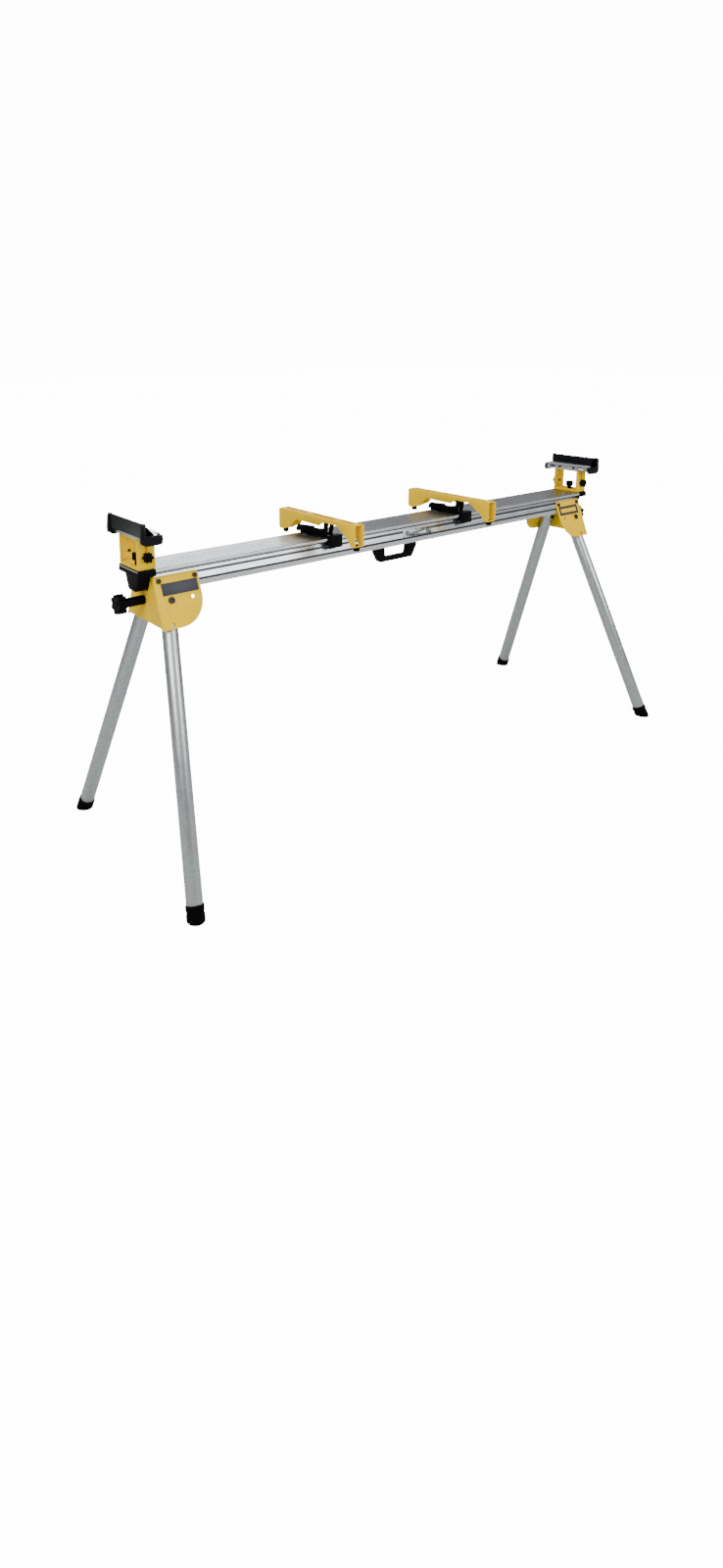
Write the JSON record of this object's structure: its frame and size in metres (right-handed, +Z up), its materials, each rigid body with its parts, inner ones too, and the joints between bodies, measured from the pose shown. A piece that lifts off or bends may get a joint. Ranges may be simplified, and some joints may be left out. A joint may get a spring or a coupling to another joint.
{
  "type": "mitre saw stand",
  "caption": "Folding work stand: a long aluminium beam on splayed folding tube legs, with sliding end supports and clamp-on brackets that carry a mitre saw.",
  "frame": {"origin": "on the floor, at the centre of the stand's bounding box", "axes": "+X along the beam to its right end, +Y to the rear, +Z up"},
  "size_m": [1.9326, 0.704, 0.928],
  "materials": {
    "yellow_powder_coat": "semi-gloss powder coat",
    "anodised_extrusion": "clear anodised, die lines along its length",
    "aluminium_tube": "satin anodised tube",
    "black_plastic": "moulded, lightly textured",
    "black_rubber": "matt moulded rubber",
    "zinc_plated_steel": "bright zinc plate",
    "black_oxide_steel": "black oxide",
    "printed_label": "blank dark panel, no lettering"
  },
  "bodies": {
    "root": {"beam": "anodised_extrusion", "carry_handle": "black_plastic", "tool_clip": "zinc_plated_steel", "leg_bracket_left": "yellow_powder_coat", "name_plate_left": "printed_label", "bracket_bolts_left_front": "black_oxide_steel", "leg_pivot_bolt_left_front": "black_oxide_steel", "bracket_bolts_left_rear": "black_oxide_steel", "leg_pivot_bolt_left_rear": "black_oxide_steel", "leg_bracket_right": "yellow_powder_coat", "name_plate_right": "printed_label", "bracket_bolts_right_front": "black_oxide_steel", "leg_pivot_bolt_right_front": "black_oxide_steel", "bracket_bolts_right_rear": "black_oxide_steel", "leg_pivot_bolt_right_rear": "black_oxide_steel"},
    "leg_left_front": {"leg_tube_left_front": "aluminium_tube", "leg_foot_left_front": "black_rubber"},
    "lock_left_front": {"leg_lock_button_left_front": "zinc_plated_steel"},
    "leg_left_rear": {"leg_tube_left_rear": "aluminium_tube", "leg_foot_left_rear": "black_rubber"},
    "lock_left_rear": {"leg_lock_button_left_rear": "zinc_plated_steel"},
    "extension_left": {"extension_arm_left": "aluminium_tube", "extension_cap_left": "black_plastic"},
    "extension_lock_left": {"extension_knob_left": "black_plastic"},
    "support_left": {"support_base_left": "yellow_powder_coat"},
    "swivel_lock_left": {"swivel_knob_left": "black_plastic"},
    "riser_left": {"support_riser_left": "yellow_powder_coat", "support_table_left": "anodised_extrusion", "support_fence_left": "black_plastic"},
    "riser_lock_left_front": {"riser_knob_left_front": "black_plastic"},
    "riser_lock_left_rear": {"riser_knob_left_rear": "black_plastic"},
    "saw_mount_left": {"saw_bracket_left": "yellow_powder_coat", "bracket_saddle_left": "black_plastic", "saw_bumper_left_front": "black_rubber", "saw_bumper_left_rear": "black_rubber"},
    "lever_left": {"clamp_lever_left": "black_plastic"},
    "jaw_left": {"clamp_jaw_left": "black_plastic"},
    "leg_right_front": {"leg_tube_right_front": "aluminium_tube", "leg_foot_right_front": "black_rubber"},
    "lock_right_front": {"leg_lock_button_right_front": "zinc_plated_steel"},
    "leg_right_rear": {"leg_tube_right_rear": "aluminium_tube", "leg_foot_right_rear": "black_rubber"},
    "lock_right_rear": {"leg_lock_button_right_rear": "zinc_plated_steel"},
    "extension_right": {"extension_arm_right": "aluminium_tube", "extension_cap_right": "black_plastic"},
    "extension_lock_right": {"extension_knob_right": "black_plastic"},
    "support_right": {"support_base_right": "yellow_powder_coat"},
    "swivel_lock_right": {"swivel_knob_right": "black_plastic"},
    "riser_right": {"support_riser_right": "yellow_powder_coat", "support_table_right": "anodised_extrusion", "support_fence_right": "black_plastic"},
    "riser_lock_right_front": {"riser_knob_right_front": "black_plastic"},
    "riser_lock_right_rear": {"riser_knob_right_rear": "black_plastic"},
    "saw_mount_right": {"saw_bracket_right": "yellow_powder_coat", "bracket_saddle_right": "black_plastic", "saw_bumper_right_front": "black_rubber", "saw_bumper_right_rear": "black_rubber"},
    "lever_right": {"clamp_lever_right": "black_plastic"},
    "jaw_right": {"clamp_jaw_right": "black_plastic"}
  },
  "joints": [
    {"name": "leg_fold_left_front", "type": "hinge", "parent": "root", "child": "leg_left_front", "pos_m": [-0.8399, -0.05039, 0.70713], "axis": [0, -0.9314, 0.3641], "range_deg": [0, 97.7]},
    {"name": "lock_press_left_front", "type": "slide", "parent": "leg_left_front", "child": "lock_left_front", "axis": [0, 0.9314, -0.3641], "range_m": [0, 0.006], "stiffness_N_per_m": 700, "springref_m": -0.002},
    {"name": "leg_fold_left_rear", "type": "hinge", "parent": "root", "child": "leg_left_rear", "pos_m": [-0.8399, 0.05039, 0.70713], "axis": [0, -0.9314, -0.3641], "range_deg": [0, 97.7]},
    {"name": "lock_press_left_rear", "type": "slide", "parent": "leg_left_rear", "child": "lock_left_rear", "axis": [0, -0.9314, -0.3641], "range_m": [0, 0.006], "stiffness_N_per_m": 700, "springref_m": -0.002},
    {"name": "extension_slide_left", "type": "slide", "parent": "root", "child": "extension_left", "axis": [-1, 0, 0], "range_m": [0, 0.7]},
    {"name": "extension_lock_turn_left", "type": "hinge", "parent": "root", "child": "extension_lock_left", "pos_m": [-0.88, 0, 0.709], "axis": [1, 0, 0], "continuous": true},
    {"name": "support_swivel_left", "type": "hinge", "parent": "extension_left", "child": "support_left", "pos_m": [-0.8942, 0, 0.8], "axis": [0, 0, 1], "range_deg": [0, 180]},
    {"name": "swivel_lock_turn_left", "type": "hinge", "parent": "support_left", "child": "swivel_lock_left", "pos_m": [-0.8942, 0, 0.8], "axis": [0, 0, 1], "continuous": true},
    {"name": "riser_slide_left", "type": "slide", "parent": "support_left", "child": "riser_left", "axis": [0, 0, 1], "range_m": [0, 0.038]},
    {"name": "riser_lock_turn_left_front", "type": "hinge", "parent": "riser_left", "child": "riser_lock_left_front", "pos_m": [-0.8942, -0.0514, 0.833], "axis": [0, 1, 0], "continuous": true},
    {"name": "riser_lock_turn_left_rear", "type": "hinge", "parent": "riser_left", "child": "riser_lock_left_rear", "pos_m": [-0.8942, 0.0514, 0.833], "axis": [0, 1, 0], "continuous": true},
    {"name": "saw_mount_slide_left", "type": "slide", "parent": "root", "child": "saw_mount_left", "axis": [1, 0, 0], "range_m": [-0.36, 0.24]},
    {"name": "lever_swing_left", "type": "hinge", "parent": "saw_mount_left", "child": "lever_left", "pos_m": [-0.3107, -0.02, 0.8068], "axis": [0, 0, 1], "range_deg": [0, 90]},
    {"name": "jaw_open_left", "type": "slide", "parent": "saw_mount_left", "child": "jaw_left", "axis": [0, -1, 0], "range_m": [0, 0.004]},
    {"name": "leg_fold_right_front", "type": "hinge", "parent": "root", "child": "leg_right_front", "pos_m": [0.8399, -0.05039, 0.70713], "axis": [0, 0.9314, -0.3641], "range_deg": [0, 97.7]},
    {"name": "lock_press_right_front", "type": "slide", "parent": "leg_right_front", "child": "lock_right_front", "axis": [0, 0.9314, -0.3641], "range_m": [0, 0.006], "stiffness_N_per_m": 700, "springref_m": -0.002},
    {"name": "leg_fold_right_rear", "type": "hinge", "parent": "root", "child": "leg_right_rear", "pos_m": [0.8399, 0.05039, 0.70713], "axis": [0, 0.9314, 0.3641], "range_deg": [0, 97.7]},
    {"name": "lock_press_right_rear", "type": "slide", "parent": "leg_right_rear", "child": "lock_right_rear", "axis": [0, -0.9314, -0.3641], "range_m": [0, 0.006], "stiffness_N_per_m": 700, "springref_m": -0.002},
    {"name": "extension_slide_right", "type": "slide", "parent": "root", "child": "extension_right", "axis": [1, 0, 0], "range_m": [0, 0.7]},
    {"name": "extension_lock_turn_right", "type": "hinge", "parent": "root", "child": "extension_lock_right", "pos_m": [0.88, 0, 0.709], "axis": [1, 0, 0], "continuous": true},
    {"name": "support_swivel_right", "type": "hinge", "parent": "extension_right", "child": "support_right", "pos_m": [0.8942, 0, 0.8], "axis": [0, 0, 1], "range_deg": [0, 180]},
    {"name": "swivel_lock_turn_right", "type": "hinge", "parent": "support_right", "child": "swivel_lock_right", "pos_m": [0.8942, 0, 0.8], "axis": [0, 0, 1], "continuous": true},
    {"name": "riser_slide_right", "type": "slide", "parent": "support_right", "child": "riser_right", "axis": [0, 0, 1], "range_m": [0, 0.038]},
    {"name": "riser_lock_turn_right_front", "type": "hinge", "parent": "riser_right", "child": "riser_lock_right_front", "pos_m": [0.8942, -0.0514, 0.833], "axis": [0, 1, 0], "continuous": true},
    {"name": "riser_lock_turn_right_rear", "type": "hinge", "parent": "riser_right", "child": "riser_lock_right_rear", "pos_m": [0.8942, 0.0514, 0.833], "axis": [0, 1, 0], "continuous": true},
    {"name": "saw_mount_slide_right", "type": "slide", "parent": "root", "child": "saw_mount_right", "axis": [1, 0, 0], "range_m": [-0.12, 0.41]},
    {"name": "lever_swing_right", "type": "hinge", "parent": "saw_mount_right", "child": "lever_right", "pos_m": [0.2416, -0.02, 0.8068], "axis": [0, 0, 1], "range_deg": [0, 90]},
    {"name": "jaw_open_right", "type": "slide", "parent": "saw_mount_right", "child": "jaw_right", "axis": [0, -1, 0], "range_m": [0, 0.004]}
  ],
  "couplings": [
    {"joint": "jaw_open_left", "follows": "lever_swing_left", "m_per_rad": 0.00254},
    {"joint": "jaw_open_right", "follows": "lever_swing_right", "m_per_rad": 0.00254}
  ]
}
